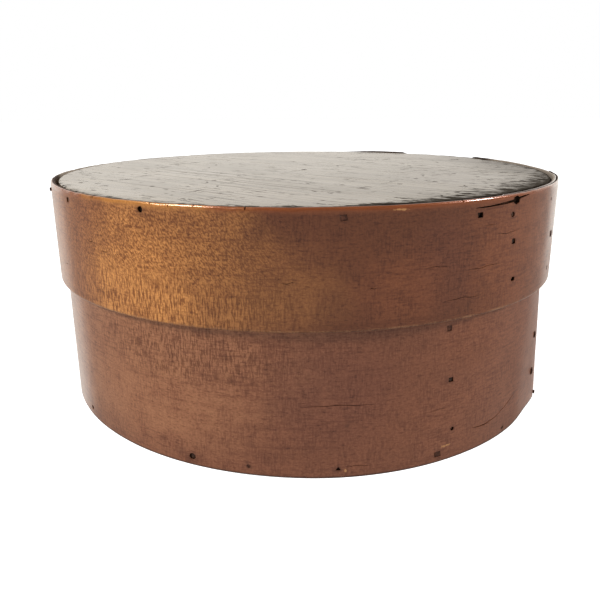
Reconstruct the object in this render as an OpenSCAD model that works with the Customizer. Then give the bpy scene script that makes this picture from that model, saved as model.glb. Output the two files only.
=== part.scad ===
// Round bentwood pantry box: a base, and a lid that lifts straight off it.
// Each side is one thin strip of wood bent round a solid board until it laps over itself.
// Cut nails clinch the lap, and a row of longer ones pins the strip to the edge of its board.
// The outside of both strips is truly round: at a lap the inner ply dives under the outer one.
// Angles run from the front of the box (-Y) towards its right side (+X).

/* [Base] */
// Outside diameter of the base
base_d = 236; // [180:1:320]
// Height of the base band
base_h = 93.3; // [75:0.1:140]
// Thickness of the bottom board
base_board_t = 9; // [7:0.5:14]

/* [Lid] */
// Depth of the lid band
lid_depth = 44.8; // [34:0.2:65]
// Thickness of the top board
lid_board_t = 10; // [7:0.5:14]
// How far the lid band stands above the top board
lid_rim = 0.6; // [0.2:0.1:2]
// Gap between the top board and the base rim when closed
lid_seat_gap = 0.1; // [0:0.05:0.5]
// Radial clearance between the lid's lap and the base
lid_clearance = 0.35; // [0.3:0.05:1]
// Gap between the top board and its band on the left
lid_gap_left = 1.5; // [0.2:0.1:3]
// Gap between the top board and its band on the right
lid_gap_right = 0.9; // [0.2:0.1:3]

/* [Bent strips] */
// Thickness of a strip
band_t = 1.9; // [1.5:0.1:3]
// Worn bevel along the edges of a strip
band_ease = 0.45; // [0.1:0.05:0.6]
// Gap between the two plies of a lap
ply_gap = 0.12; // [0.08:0.02:0.3]
// Thickness that the lid's inner ply is shaved to at its tip
shaved_tip_t = 0.7; // [0.5:0.1:1.5]
// Gap between a board and the strip round it
board_fit = 0.1; // [0.05:0.05:0.5]
// Worn bevel round the edges of the boards
board_ease = 0.6; // [0.2:0.1:1.5]

/* [Base lap] */
// Angle of the hidden tip of the inner ply
base_tip_a = 24; // [10:1:35]
// Angle of the end of the outer ply
base_end_a = 66.5; // [50:0.5:80]
// Angle where the inner ply has come out to the round
base_merge_a = 112; // [100:1:130]

/* [Lid lap] */
// Angle of the hidden tip of the inner ply
lid_tip_a = 38; // [20:1:45]
// Angle of the end of the outer ply
lid_end_a = 85; // [70:1:95]
// Angle where the inner ply has come out to the round
lid_merge_a = 130; // [115:1:150]

/* [Nails] */
// Side of a nail's square head
nail_head_w = 2; // [1.6:0.1:3]
// Thickness of the head
nail_head_t = 0.6; // [0.4:0.1:1]
// Width of the shank under the head
nail_shank_w = 1.5; // [1:0.1:1.6]
// Width of the shank at its point
nail_point_w = 0.6; // [0.4:0.1:0.8]
// Thickness of the plate that the nails are cut from
nail_plate_t = 1.2; // [0.8:0.1:1.5]
// Depth of a set head below the wood
nail_set = 0.3; // [0.1:0.05:0.6]
// Height that a loose head stands out of the wood
nail_loose = 0.9; // [0.3:0.1:2]
// Length of the nails into the boards
rim_nail_l = 17; // [10:1:30]
// Length of the bent-over point of a lap nail
clinch_l = 4; // [2:0.5:8]
// Thickness of the bent-over point
clinch_t = 0.4; // [0.2:0.05:0.5]
// Distance from the end of a ply to its row of nails
lap_nail_inset = 8; // [5:0.5:12]
// Nails in a row on the base lap
base_row_n = 4; // [2:1:6]
// Height of the lowest nail of a row on the base lap
base_row_low = 13; // [11:0.5:20]
// Distance from the rim of the base to the highest nail of a row
base_row_high = 17; // [6:0.5:25]
// Lean of the row at the tip of the base lap, in degrees for each millimetre of height
base_tip_lean = -0.04; // [-0.06:0.01:0.02]
// Nails in a row on the lid lap
lid_row_n = 2; // [1:1:3]
// Distance from the lower edge of the lid to the lowest nail of a row
lid_row_low = 11; // [5:0.5:14]
// Distance from the top board to the highest nail of a row
lid_row_high = 8; // [3:0.5:12]
// Lean of the row at the tip of the lid lap, in degrees for each millimetre of height
lid_tip_lean = -0.06; // [-0.08:0.01:0.04]
// How much lower the middle row of the lid lap sits than the rows beside it
lid_middle_drop = 3.8; // [0:0.1:5]

/* [Hidden] */
$fn = 96;

WOOD = "#9c5a2b";
BOARD = "#6d5a49";
IRON = "#3a3532";
PAST = 1;

base_r = base_d / 2;
lid_shaved_r = base_r + lid_clearance;
lid_r = lid_shaved_r + shaved_tip_t + ply_gap + band_t;
lid_board_z = base_h + lid_seat_gap;
lid_top_z = lid_board_z + lid_board_t + lid_rim;
lid_z = lid_top_z - lid_depth;

// Rim nails: angle, height as a share of the board's thickness, depth of the head below the wood.
BASE_RIM_NAILS = [
    [-55.2, 0.45, nail_set], [-22, 0.44, nail_set], [-10.5, 0.44, nail_set], [6, 0.43, nail_set],
    [25.8, 0.4, nail_set], [45.1, 0.3, nail_set], [68, 0.4, -nail_loose], [94, 0.45, nail_set],
    [119, 0.42, nail_set], [146, 0.5, nail_set], [171, 0.4, nail_set], [-163, 0.46, nail_set],
    [-137, 0.43, nail_set], [-110, 0.48, nail_set], [-82, 0.4, nail_set]
];
LID_RIM_NAILS = [
    [-68, 0.67, -nail_loose], [-51.3, 0.64, nail_set], [-28.7, 0.74, nail_set], [6.3, 0.65, nail_set],
    [31.5, 0.42, nail_set], [40.3, 0.25, nail_set], [58, 0.4, nail_set], [88, 0.6, nail_set],
    [114, 0.65, nail_set], [141, 0.6, nail_set], [166, 0.7, nail_set], [-167, 0.6, nail_set],
    [-141, 0.66, nail_set], [-116, 0.62, nail_set], [-92, 0.68, nail_set]
];

function from_front(a) = [sin(a), -cos(a)];

// The inner ply follows a circle inside the outside round, which it touches at the merge angle.
// At the tip that circle lies one strip and one gap deeper. It is shifted by whole hundredths,
// so that the two arcs of a strip meet in the same face.
function dive(tip_a, merge_a) =
    round(100 * (band_t + ply_gap) / (1 - cos(merge_a - tip_a))) / 100;
function dive_center(tip_a, merge_a) = dive(tip_a, merge_a) * from_front(merge_a);

// Distance from the box's axis, along angle a, to a circle of radius r round point c
function reach(c, r, a) =
    let (u = from_front(a), along = c * u, across = c[0] * u[1] - c[1] * u[0])
    along + sqrt(r * r - across * across);

function ply_inside(r, tip_a, merge_a, a) =
    reach(dive_center(tip_a, merge_a), r - dive(tip_a, merge_a) - band_t, a);

function arc_angle(length, r) = length / r * 180 / PI;

// Heights of a row of n nails between two limits
function row(n, low, high) =
    n == 1 ? [(low + high) / 2] : [for (i = [0 : n - 1]) low + i * (high - low) / (n - 1)];

base_row = row(base_row_n, base_row_low, base_h - base_row_high);
lid_row = row(lid_row_n, lid_z + lid_row_low, lid_board_z - lid_row_high);
base_tip_nail_a = base_tip_a + arc_angle(lap_nail_inset, base_r);
base_end_nail_a = base_end_a - arc_angle(lap_nail_inset, base_r);
lid_tip_nail_a = lid_tip_a + arc_angle(lap_nail_inset, lid_r);
lid_end_nail_a = lid_end_a - arc_angle(lap_nail_inset, lid_r);
lid_middle_nail_a = (lid_tip_nail_a + lid_end_nail_a) / 2;

// Angle and height of each nail of a row that leans and drops
function places(heights, a, lean = 0, drop = 0) =
    let (middle = (heights[0] + heights[len(heights) - 1]) / 2)
    [for (z = heights) [a + lean * (z - middle), z - drop]];

base_tip_places = places(base_row, base_tip_nail_a, base_tip_lean);
base_end_places = places(base_row, base_end_nail_a);
lid_tip_places = places(lid_row, lid_tip_nail_a, lid_tip_lean);
lid_middle_places = places(lid_row, lid_middle_nail_a, 0, lid_middle_drop);
lid_end_places = places(lid_row, lid_end_nail_a);
base_places = concat(base_tip_places, base_end_places);
lid_places = concat(lid_tip_places, lid_middle_places, lid_end_places);

module eased_outline(r0, r1, h, e)
    polygon([
        [r0 + e, 0], [r1 - e, 0], [r1, e], [r1, h - e],
        [r1 - e, h], [r0 + e, h], [r0, h - e], [r0, e]
    ]);

module strip(r, h, sweep)
    rotate_extrude(angle = sweep) eased_outline(r - band_t, r, h, band_ease);

// One strip lapped over itself, from the tip of its inner ply round to the end of its outer ply.
// It is drawn with the merge angle along +X.
module lapped_band(r, h, tip_a, end_a, merge_a) rotate([0, 0, merge_a - 90]) {
    under_r = r - dive(tip_a, merge_a);
    difference() {
        strip(r, h, end_a + 360 - merge_a);
        ply_room(under_r, h, tip_a, merge_a, ply_gap);
    }
    translate([r - under_r, 0]) strip(under_r, h, tip_a - merge_a);
}

// The room that the inner ply takes up, with a gap all round, up to the merge angle at +X
module ply_room(under_r, h, tip_a, merge_a, gap)
    translate([dive(tip_a, merge_a), 0, -PAST])
        rotate_extrude(angle = tip_a - merge_a - arc_angle(gap, under_r))
            translate([under_r - band_t - gap, 0]) square([band_t + 2 * gap, h + 2 * PAST]);

// The relief in a board for the inner ply of the band round it
module board_relief(r, t, tip_a, merge_a) rotate([0, 0, merge_a - 90])
    ply_room(r - dive(tip_a, merge_a), t, tip_a, merge_a, board_fit);

module eased_disc(r, t)
    rotate_extrude()
        polygon([
            [0, 0], [r - board_ease, 0], [r, board_ease],
            [r, t - board_ease], [r - board_ease, t], [0, t]
        ]);

// A nail lies along +Y with the outer face of its head at the origin.
module nail_head() translate([-nail_head_w / 2, 0, -nail_head_w / 2])
    cube([nail_head_w, nail_head_t, nail_head_w]);

module shank(length, end_w) linear_extrude(nail_plate_t, center = true)
    polygon([
        [-nail_shank_w / 2, 0], [nail_shank_w / 2, 0],
        [end_w / 2, length], [-end_w / 2, length]
    ]);

module rim_nail() {
    nail_head();
    shank(rim_nail_l, nail_point_w);
}

module lap_nail(depth) {
    nail_head();
    shank(depth, nail_point_w);
    translate([-nail_point_w / 2, depth - clinch_t, -nail_plate_t / 2])
        cube([clinch_l, clinch_t, nail_plate_t]);
}

// The way that a set head has sunk in from the surface
module nail_mouth() translate([-nail_head_w / 2, -PAST, -nail_head_w / 2])
    cube([nail_head_w, PAST + nail_head_t, nail_head_w]);

module at_band(r, a, z) rotate([0, 0, a]) translate([0, -r, z]) children();

module rim_nails(nails, r, board_z, board_t)
    for (n = nails) at_band(r - n[2], n[0], board_z + n[1] * board_t) rim_nail();

module rim_nail_holes(nails, r, board_z, board_t)
    for (n = nails) at_band(r - n[2], n[0], board_z + n[1] * board_t) {
        rim_nail();
        nail_mouth();
    }

function base_inside(a) = ply_inside(base_r, base_tip_a, base_merge_a, a);
function lid_inside(a) = max(lid_shaved_r, ply_inside(lid_r, lid_tip_a, lid_merge_a, a));

// Nails through a lap, each as long as the lap is deep where it goes in
module base_lap_nails(spots)
    for (p = spots) at_band(base_r - nail_set, p[0], p[1])
        lap_nail(base_r - nail_set - base_inside(p[0]));

module lid_lap_nails(spots)
    for (p = spots) at_band(lid_r - nail_set, p[0], p[1])
        lap_nail(lid_r - nail_set - lid_inside(p[0]));

module lap_mouths(spots, r)
    for (p = spots) at_band(r - nail_set, p[0], p[1]) nail_mouth();

module base_band() color(WOOD) difference() {
    lapped_band(base_r, base_h, base_tip_a, base_end_a, base_merge_a);
    rim_nail_holes(BASE_RIM_NAILS, base_r, 0, base_board_t);
    base_lap_nails(base_places);
    lap_mouths(base_places, base_r);
}

module base_board() color(BOARD) difference() {
    eased_disc(base_r - band_t - board_fit, base_board_t);
    board_relief(base_r, base_board_t, base_tip_a, base_merge_a);
    rim_nail_holes(BASE_RIM_NAILS, base_r, 0, base_board_t);
}

module base_rim_nails() color(IRON) rim_nails(BASE_RIM_NAILS, base_r, 0, base_board_t);

module base_lap_tip_nails() color(IRON) base_lap_nails(base_tip_places);

module base_lap_end_nails() color(IRON) base_lap_nails(base_end_places);

// The tip of the lid's inner ply is shaved thin from inside, so that it passes over the base.
module lid_band() color(WOOD) difference() {
    translate([0, 0, lid_z]) lapped_band(lid_r, lid_depth, lid_tip_a, lid_end_a, lid_merge_a);
    translate([0, 0, lid_z - PAST]) cylinder(r = lid_shaved_r, h = lid_depth + 2 * PAST);
    rim_nail_holes(LID_RIM_NAILS, lid_r, lid_board_z, lid_board_t);
    lid_lap_nails(lid_places);
    lap_mouths(lid_places, lid_r);
}

module lid_board() color(BOARD) difference() {
    translate([0, 0, lid_board_z]) difference() {
        lid_disc();
        difference() {
            board_relief(lid_r, lid_board_t, lid_tip_a, lid_merge_a);
            translate([0, 0, -2 * PAST])
                cylinder(r = lid_shaved_r - board_fit, h = lid_board_t + 4 * PAST);
        }
    }
    rim_nail_holes(LID_RIM_NAILS, lid_r, lid_board_z, lid_board_t);
}

// The top board is a little narrow for its band, which stands off it on the left and the right.
module lid_disc() intersection() {
    disc_r = lid_r - band_t - board_fit;
    translate([lid_gap_left, 0]) eased_disc(disc_r, lid_board_t);
    translate([-lid_gap_right, 0]) eased_disc(disc_r, lid_board_t);
}

module lid_rim_nails() color(IRON) rim_nails(LID_RIM_NAILS, lid_r, lid_board_z, lid_board_t);

module lid_lap_tip_nails() color(IRON) lid_lap_nails(lid_tip_places);

module lid_lap_middle_nails() color(IRON) lid_lap_nails(lid_middle_places);

module lid_lap_end_nails() color(IRON) lid_lap_nails(lid_end_places);

base_band();
base_board();
base_rim_nails();
base_lap_tip_nails();
base_lap_end_nails();
lid_band();
lid_board();
lid_rim_nails();
lid_lap_tip_nails();
lid_lap_middle_nails();
lid_lap_end_nails();
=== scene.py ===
"""Looks of the bentwood pantry box: two bent and lapped bands, two boards and their cut nails.

Angles run in degrees from the front of the box (-Y) towards its right side (+X), lengths in metres.
"""

import math
import random
from functools import partialmethod

import bpy
import numpy as np
from mathutils import Matrix, Vector


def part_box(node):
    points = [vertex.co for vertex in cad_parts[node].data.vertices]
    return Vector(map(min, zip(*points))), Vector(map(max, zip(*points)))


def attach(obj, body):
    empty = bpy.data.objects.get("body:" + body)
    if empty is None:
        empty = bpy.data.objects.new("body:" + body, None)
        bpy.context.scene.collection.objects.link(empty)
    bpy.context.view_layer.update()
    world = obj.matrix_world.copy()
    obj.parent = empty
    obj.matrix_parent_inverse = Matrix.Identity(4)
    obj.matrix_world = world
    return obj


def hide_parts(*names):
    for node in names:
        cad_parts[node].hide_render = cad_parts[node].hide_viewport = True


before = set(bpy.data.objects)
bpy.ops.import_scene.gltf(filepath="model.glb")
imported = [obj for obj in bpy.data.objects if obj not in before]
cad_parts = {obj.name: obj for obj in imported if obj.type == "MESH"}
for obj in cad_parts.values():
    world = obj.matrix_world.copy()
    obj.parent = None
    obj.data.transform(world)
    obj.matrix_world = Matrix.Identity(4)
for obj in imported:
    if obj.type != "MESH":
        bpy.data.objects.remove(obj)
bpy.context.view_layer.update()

MM = 0.001
SEED = 1840

# The bent strips
BAND_T = 1.9 * MM
PLY_GAP = 0.12 * MM
LID_CLEARANCE = 0.35 * MM
# How the foot of the base is out of round: waves in the round, size in mm, angle of a crest
FOOT_WAVES = [(0, 0.85, 0), (1, 0.65, 80), (2, 0.36, 52), (3, 0.57, 16), (4, 0.2, 7)]
# Where it stands out at the end of its lap, and in before it: angle, width in degrees, size in mm
FOOT_BUMPS = [(71, 8.5, 1.4), (58, 6, -0.7)]
ROUND_FROM = 57 * MM

# Steps of a strip's mesh: along its path in degrees, up its face and down its back
PATH_STEP = 0.5
FACE_ROW = 1.5 * MM
BACK_ROW = 6 * MM
ROUND_STEPS = 6
END_STEPS = 5

# How a strip's section is rounded, new and by how much more where it is worn
END_EASE = 0.6 * MM
END_THINNED = 0.8
CROWN_IN, CROWN_IN_WORN = 0.45 * MM, 0.35 * MM
CROWN_DOWN, CROWN_DOWN_WORN = 0.6 * MM, 0.9 * MM
LIP, LIP_WORN = 0.25 * MM, 0.2 * MM
FOOT, FOOT_WORN = 0.55 * MM, 0.3 * MM
FACE_DIP = 0.16 * MM
HAND_MARK = 0.004 * MM

# How the lid's rim has worn down, with zones in degrees: where each begins and where it ends
RIM_WORN = 0.5 * MM
RIM_BACK_WORN = 0.45 * MM
RIM_UNEVEN = 0.15
RIM_BACK = ((75, 100), (260, 285))
# Places at the back right where it has kept its height: share, beginning and end
RIM_KEPT = [(0.85, (92, 121), (121.5, 122.5)), (1.0, (145.5, 147.5), (157, 168))]
# Dents in the rim: their number, width in degrees and depth in mm
NICKS = 90
NICK_WIDE = (0.7, 1.8)
NICK_DEEP = (0.05, 0.4)

# The boards
BOARD_FIT = 0.1 * MM
LID_GAP_LEFT = 1.5 * MM
LID_GAP_RIGHT = 1.6 * MM
TOP_GRAIN = -41
TOP_EASE = 0.9 * MM
BOTTOM_EASE = 0.6 * MM
TOP_CUPPED = 0.12 * MM
TOP_RIDGED = 0.04 * MM
DIRT_SUNK = 0.2 * MM
BOTTOM_UNEVEN = 0.15 * MM

# The cut nails
HEAD_T = 0.6 * MM
NECK_T = 0.05 * MM
SHANK_W = 1.5 * MM
POINT_W = 0.6 * MM
PLATE_T = 1.2 * MM
RIM_NAIL_L = 17 * MM
CLINCH_L = 4 * MM
CLINCH_T = 0.4 * MM
CLINCH_SUNK = 0.25 * MM
LAP_NAIL_INSET = 8 * MM
# How far nails are turned in the wood, in radians, and how far the tops of their heads lean, in mm
NAIL_TILT = 0.1
HEAD_LEAN = 0.08
# How much of a bar's half width is left flat between the corners that are taken off
BAR_FLAT = 0.6
# A head: depth, shares of its width, of its height and of its lean
HEAD_SHAPE = [(0, 0.55, 0.5, 1), (0.1 * MM, 0.9, 0.88, 0), (0.3 * MM, 1, 1, 0), (HEAD_T, 0.96, 0.96, 0)]
# A clinched point: shares of its length and of its section
CLINCH_SHAPE = [(0, 0.8), (0.08, 1), (0.7, 0.9), (0.95, 0.6), (1, 0.35)]
# A mouth round a head: how far out, and share of its size
MOUTH_RINGS = [(0.5 * MM, 1.12), (-0.05 * MM, 1.02)]
MOUTH_FLOOR = 0.9
MOUTH_BEHIND = 0.75 * MM
# Heads that lie flush, sunk less than this in mm, have rusted browner than the others
FLUSH = 0.15
FLUSH_RUST = 0.9
LOOSE_RUST = 0.6
SUNK_RUST = 0.15

# Nails along the edges: angle, height as a share of the board, depth of the head below the wood in mm,
# width and height of the mouth in mm, corners of the mouth, share of the mouth that the head fills
BASE_RIM_NAILS = [
    (-55.2, 0.45, 0.4, 2.2, 1.9, 4, 0.8), (-22, 0.44, 0.5, 3.0, 2.7, 7, 0.55),
    (-10.5, 0.44, 0.1, 1.8, 1.6, 5, 1.04), (6, 0.43, 1.1, 2.5, 2.2, 3, 0.6),
    (25.8, 0.4, 0.12, 2.9, 2.3, 4, 1.04), (45.1, 0.3, 0.2, 2.0, 1.6, 5, 0.9),
    (66.8, 0.22, -0.55, 1.6, 1.3, 4, 1.2), (94, 0.45, 0.4, 2.2, 2.0, 4, 0.85),
    (119, 0.42, 0.3, 2.1, 2.0, 4, 0.9), (146, 0.5, 0.5, 2.2, 2.1, 5, 0.85),
    (171, 0.4, 0.3, 2.2, 2.0, 4, 0.9), (-163, 0.46, 0.25, 2.1, 1.9, 4, 0.9),
    (-137, 0.43, 0.5, 2.3, 2.0, 5, 0.85), (-110, 0.48, 0.3, 2.1, 2.0, 4, 0.9),
    (-82, 0.4, 0.4, 2.2, 2.1, 4, 0.85),
]
LID_RIM_NAILS = [
    (-68, 0.67, -0.6, 1.6, 1.3, 4, 1.2), (-51.3, 0.64, 0.6, 1.9, 2.0, 4, 0.7),
    (-28.7, 0.74, 1.1, 2.4, 2.2, 7, 0.6), (6.3, 0.65, 0.06, 2.4, 2.1, 4, 1.06),
    (31.5, 0.42, 1.0, 2.5, 1.9, 4, 0.6), (40.3, 0.25, 0.45, 2.3, 2.1, 7, 0.85),
    (58, 0.4, 0.05, 1.4, 1.3, 4, 1.06), (88, 0.6, 0.4, 2.2, 2.0, 4, 0.85),
    (114, 0.65, 0.3, 2.1, 1.9, 4, 0.9), (141, 0.6, 0.5, 2.2, 2.2, 5, 0.85),
    (166, 0.7, 0.3, 2.1, 2.0, 4, 0.9), (-167, 0.6, 0.3, 2.2, 2.0, 4, 0.9),
    (-141, 0.66, 0.5, 2.1, 2.1, 5, 0.85), (-116, 0.62, 0.3, 2.2, 2.0, 4, 0.9),
    (-92, 0.68, 0.35, 2.1, 2.0, 4, 0.9),
]
# Nails through the laps: height in mm, then the same from the depth of the head on
BASE_TIP_ROW = [
    (13, 0.7, 1.9, 1.8, 5, 0.7), (34.1, 0.35, 2.4, 1.9, 4, 0.75),
    (55.2, 0.1, 2.3, 2.3, 4, 1.03), (76.3, 0.3, 2.1, 2.1, 4, 0.9),
]
BASE_END_ROW = [
    (16, -0.45, 2.4, 3.2, 4, 0.95), (34.1, -0.45, 2.4, 2.9, 4, 0.95),
    (55.2, 0.05, 1.5, 1.5, 4, 1.06), (76.3, 0.3, 2.1, 2.1, 4, 0.9),
]
LID_TIP_ROW = [(70.2, 0.9, 2.9, 2.0, 5, 0.65), (85.4, 0.5, 2.3, 2.1, 4, 0.7)]
LID_MIDDLE_ROW = [(66.4, 0.06, 2.0, 2.0, 4, 1.06), (81.6, -0.3, 2.6, 2.8, 4, 0.95)]
LID_END_ROW = [(70.2, 0.35, 2.1, 2.1, 4, 0.85), (85.4, 0.45, 2.0, 2.2, 4, 0.85)]
# Lean of the rows at the tips, in degrees for each mm of height
BASE_TIP_LEAN = -0.04
LID_TIP_LEAN = -0.06

# Wear of the bands, with heights and other lengths in mm. A split runs through points of angle, height and
# width. Chips: angle, height, how wide and how tall. Hairlines along the grain: first and last angle, height,
# width. Smudges: angle, height, half length, half height, darkness
LID_WEAR = dict(
    worn_top=1.0, split_deep=1.3 * MM,
    split=[
        (30.2, 100.3, 0.15), (32.0, 100.3, 0.5), (34.5, 100.4, 0.6), (37.5, 100.7, 0.9), (39.8, 101.0, 1.1),
        (41.4, 101.5, 1.2), (42.8, 102.0, 0.8), (45.4, 102.4, 0.3),
    ],
    chips=[
        (41.2, 101.2, 4.4, 3.4), (-41.0, 103.3, 0.5, 1.8), (-26.6, 103.4, 0.6, 1.2), (-22.9, 103.3, 0.4, 2.4),
        (-18.2, 103.5, 0.5, 1.4), (-9.4, 103.2, 0.5, 1.8), (-54.0, 103.5, 0.6, 1.4), (27.4, 103.4, 0.6, 1.2),
        (34.6, 103.5, 0.5, 1.2),
    ],
    hairlines=[
        (-58, -55.2, 71.5, 0.22), (-44.3, -41.6, 85.6, 0.3), (-40.1, -37.7, 82.8, 0.3),
        (-4.2, -1.3, 77.5, 0.22), (10.6, 12.0, 74.9, 0.3), (20.3, 25.7, 80.6, 0.2), (23.9, 33.4, 67.4, 0.24),
        (28.7, 37.6, 78.0, 0.24), (35.8, 43.0, 89.4, 0.2), (32.6, 35.8, 93.4, 0.2), (98, 104, 77, 0.25),
        (131, 136, 90, 0.25), (-150, -143, 72, 0.25), (-97, -92, 84, 0.25),
    ],
    smudges=[
        (30.2, 64.4, 1.0, 2.6, 0.3), (-28.0, 77.0, 1.6, 0.7, 0.4), (-30.8, 68.0, 0.7, 3.4, 0.3),
        (41.2, 101.4, 2.6, 1.8, 0.5), (-41.5, 103.6, 1.2, 1.2, 0.6), (160, 80, 6, 3, 0.3),
        (-120, 92, 5, 2, 0.35),
    ],
)
BASE_WEAR = dict(
    worn_top=0.3, split_deep=0.8 * MM,
    split=[
        (34.0, 10.3, 0.1), (36.0, 9.6, 0.4), (38.2, 9.2, 0.55), (41.8, 10.0, 0.35), (46.6, 13.0, 0.45),
        (49.6, 15.0, 0.1),
    ],
    chips=[],
    hairlines=[
        (-1.0, 12.8, 29.8, 0.3), (6.8, 12.2, 4.7, 0.28), (23.3, 28.0, 22.7, 0.2), (84, 93, 38, 0.25),
        (140, 152, 22, 0.25), (-170, -161, 51, 0.25), (-124, -117, 14, 0.25),
    ],
    smudges=[
        (50.5, 26.9, 4.0, 1.8, 0.2), (54.0, 27.6, 4.0, 1.2, 0.12), (49.6, 15.2, 2.6, 1.2, 0.5),
        (7.6, 21.9, 1.3, 1.2, 0.5), (49.9, 4.4, 1.6, 1.0, 0.3), (-9.0, 49.6, 0.9, 0.6, 0.6),
        (-10.8, 4.6, 1.0, 1.6, 0.35), (-24.5, 5.0, 2.4, 2.0, 0.3), (115, 40, 6, 4, 0.3),
        (-140, 60, 5, 3, 0.35),
    ],
)
CHIP_DEEP = 1.4 * MM
CHIP_CORNERS = 6
HAIRLINE_DEEP = 0.7 * MM
HAIRLINE_STEP = 0.8
# How far marks fade beyond their size, and how dark the wood is round a nail
NAIL_STAIN = 0.55
NAIL_STAIN_SPREAD = 1.1
SMUDGE_SPREAD = 1.5
STAIN_REACH = 8 * MM

# Scars in the top: place in mm, direction in degrees, length and width in mm
TOP_SCARS = [
    (-81, -39, 40, 9, 1.6), (-76, -25, 61, 14, 1.0), (-43, -79, 58, 14, 0.9), (-59, -11, 43, 5, 1.5),
    (-15, 3, -18, 10, 1.2), (-4, -6, 30, 9, 1.4), (10, -86, -49, 4, 1.0), (4, -80, -60, 5, 1.0),
    (35, -56, 31, 6, 1.1), (54, -47, 32, 5, 1.2), (59, 91, 13, 5, 2.0), (88, 52, 26, 10, 2.2),
    (102, 36, 6, 8, 3.0), (103, 59, -61, 8, 2.4), (87, -16, 6, 6, 1.4), (96, -18, 31, 8, 1.6),
    (103, -18, 33, 10, 1.4), (97, -30, 26, 9, 1.3), (19, -43, 26, 4, 1.1), (25, -68, 31, 6, 0.9),
    (15, 2, 24, 5, 1.2), (54, 5, 18, 6, 1.4), (70, -6, 15, 7, 1.3), (-22, -32, -26, 6, 1.0),
    (-84, -60, 39, 5, 1.1), (-68, -71, 36, 5, 0.9), (-29, -81, -34, 6, 0.9), (-16, -94, -40, 7, 0.9),
    (-42, -51, 90, 2.4, 2.0), (-36, -63, 90, 3.4, 1.4), (-48, 27, 90, 4.0, 1.5), (-50, 12, 80, 2.5, 2.0),
    (-50, -89, 20, 1.8, 1.6), (18, 18, 90, 3.5, 1.6), (55, -30, 80, 2.4, 2.0), (51, -93, 90, 4.5, 0.9),
    (66, -67, 95, 6.0, 0.9), (-62, 40, -30, 6, 1.4), (-30, 62, 20, 7, 1.6), (22, 71, 28, 6, 1.6),
    (-90, -8, 30, 5, 1.2), (38, 38, 24, 7, 1.4),
]
SCAR_DEEP = 0.45 * MM
SCAR_STEPS = 8
# Short checks along the grain of the top: their number, and their lengths, widths and depths in mm
CHECKS = 46
CHECK_LONG = (4, 22)
CHECK_WIDE = (0.35, 0.7)
CHECK_DEEP = (0.08, 0.25)
# Zones of dirt along the edge of the top, in degrees: where each begins and where it ends
DIRT_RIGHT = ((4, 30), (54, 84))
DIRT_LEFT = ((-55, -35), (-6, 4))
DIRT_BEHIND = ((60, 92), (100, 130))
DIRT_BOLD = ((2, 12), (46, 66))
DIRT_LINE = ((1, 6), (95, 108))

# Edges sharper than these angles stay sharp
BAND_SHARP = 38
NAIL_SHARP = 45
BOARD_SHARP = 50

# Colours of the bands, linear
# GOLD, TAN and PALE_TAN also paint the glow of the left lamp on the front left of the bands
GOLD = (0.74, 0.325, 0.088)
TAN = (0.48, 0.187, 0.064)
PALE_TAN = (0.445, 0.195, 0.092)
RIGHT_EDGE_HIGHLIGHT = (0.36, 0.155, 0.085)
ORANGE = (0.28, 0.088, 0.032)
PURPLE = (0.15, 0.047, 0.032)
# The rubbed rim, and the painted highlight on it where the left lamp catches it
RIM_RED, RIM_HIGHLIGHT = (0.29, 0.08, 0.025), (0.62, 0.26, 0.06)
FOOT_RUBBED_AND_LIT = (0.44, 0.21, 0.09)
TORN_FIBRE = (0.55, 0.27, 0.1)
DRY_LIGHT, DRY_DARK = (0.30, 0.17, 0.085), (0.19, 0.098, 0.047)
BARE_RIM = (0.33, 0.27, 0.21)
# Painted shade on the walls of holes, splits and chips
HOLE_SHADE = (0.016, 0.009, 0.006)
# What multiplies them where the wood is darker
FLECK = (0.43, 0.33, 0.26)
STREAK = (0.68, 0.6, 0.58)
COMB = (0.72, 0.65, 0.64)
PORE = (0.6, 0.5, 0.46)
FINE_GRAIN = (0.76, 0.72, 0.7)
FOOT_DARK_TINT = (0.2, 0.16, 0.14)
STAIN = (0.3, 0.24, 0.22)
# Painted shade: dark where shade falls in the gap between the top board and the band, and in the groove at
# the end of the lap
GAP_SHADE = (0.1, 0.085, 0.075)
LAP_GROOVE_SHADE = (0.15, 0.12, 0.1)

# Wood of the bands. A patch has an angle, a height in mm, half a width in degrees and half a height in mm.
# Patches of colour add the colour and its strength, the flecked one adds the height in mm at which strokes
# turn to speckle, and its boldness, and coats add how much more varnish there is. Torn fibres have half a
# length in mm instead of degrees, and rims that are rubbed bare have their first and last angle
LID_WOOD = dict(
    dark=(0.165, 0.051, 0.0185), light=(0.208, 0.065, 0.0235),
    patches=[
        # The tan and gold patches at the front left, on this line and the next, are painted light: the glow
        # of the left lamp on the wood
        (-54, 76, 36, 100, TAN, 0.85), (-12, 74, 22, 28, GOLD, 0.26), (-24, 84, 20, 56, GOLD, 0.46),
        (-32, 66, 17, 50, GOLD, 0.93), (-19, 99, 13, 16, GOLD, 0.24), (25, 80, 10, 24, PURPLE, 0.3),
        # The last patch below is a painted highlight down the right edge of the lid
        (17, 74, 11, 18, ORANGE, 0.5), (46, 80, 22, 38, ORANGE, 0.85), (66, 84, 20, 60, RIGHT_EDGE_HIGHLIGHT, 0.85),
        (-136, 78, 30, 70, TAN, 0.5), (-204, 80, 24, 60, GOLD, 0.3), (-246, 76, 20, 40, ORANGE, 0.8),
    ],
    flecked=(-30, 80, 30, 60, 22, 0.9), lit_rim=(-30, 104, 17, 20),
    coats=[(64, 98, 13, 20, 0.45), (68, 64, 15, 14, -0.4)],
    torn=[(15.6, 102.0, 3.4, 0.45)], bare_rims=[(66, 112), (240, 276)], low_edge=0.6, low_darkening=0.25,
)
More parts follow.
